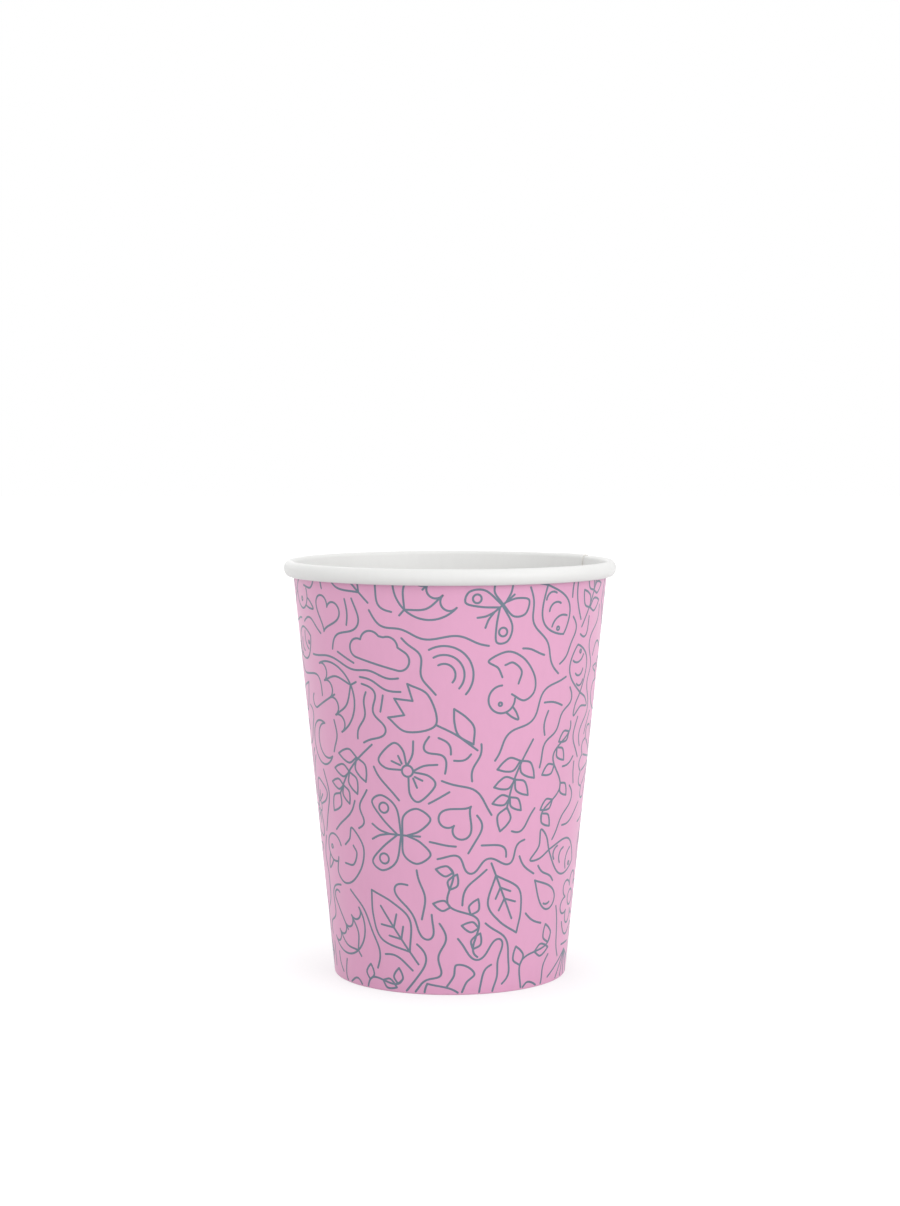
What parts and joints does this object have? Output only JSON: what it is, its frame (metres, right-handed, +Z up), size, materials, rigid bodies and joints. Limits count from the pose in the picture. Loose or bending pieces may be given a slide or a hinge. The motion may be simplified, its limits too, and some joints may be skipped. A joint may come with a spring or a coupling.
{
  "type": "paper bathroom cup",
  "caption": "Tapered disposable paper cup with a rolled white rim, an overlapped side seam, a pink wall printed with line drawings, and a raised bottom disc held in a folded hem.",
  "frame": {"origin": "centre of the foot ring, on the surface that the cup stands on", "axes": "+Z up along the cup's axis, from the foot to the rim; -Y towards the viewer of the picture, so the side seam lies at the back right, 35 degrees from +X towards +Y"},
  "size_m": [0.0702, 0.0702, 0.0881],
  "materials": {
    "side_wall": "pink print with blue-grey lines on white cup paper, satin; rolled rim and inside bare white",
    "bottom_disc": "plain white coated cup paper, satin"
  },
  "bodies": {
    "root": {"side_wall": "side_wall", "bottom_disc": "bottom_disc"}
  },
  "joints": []
}
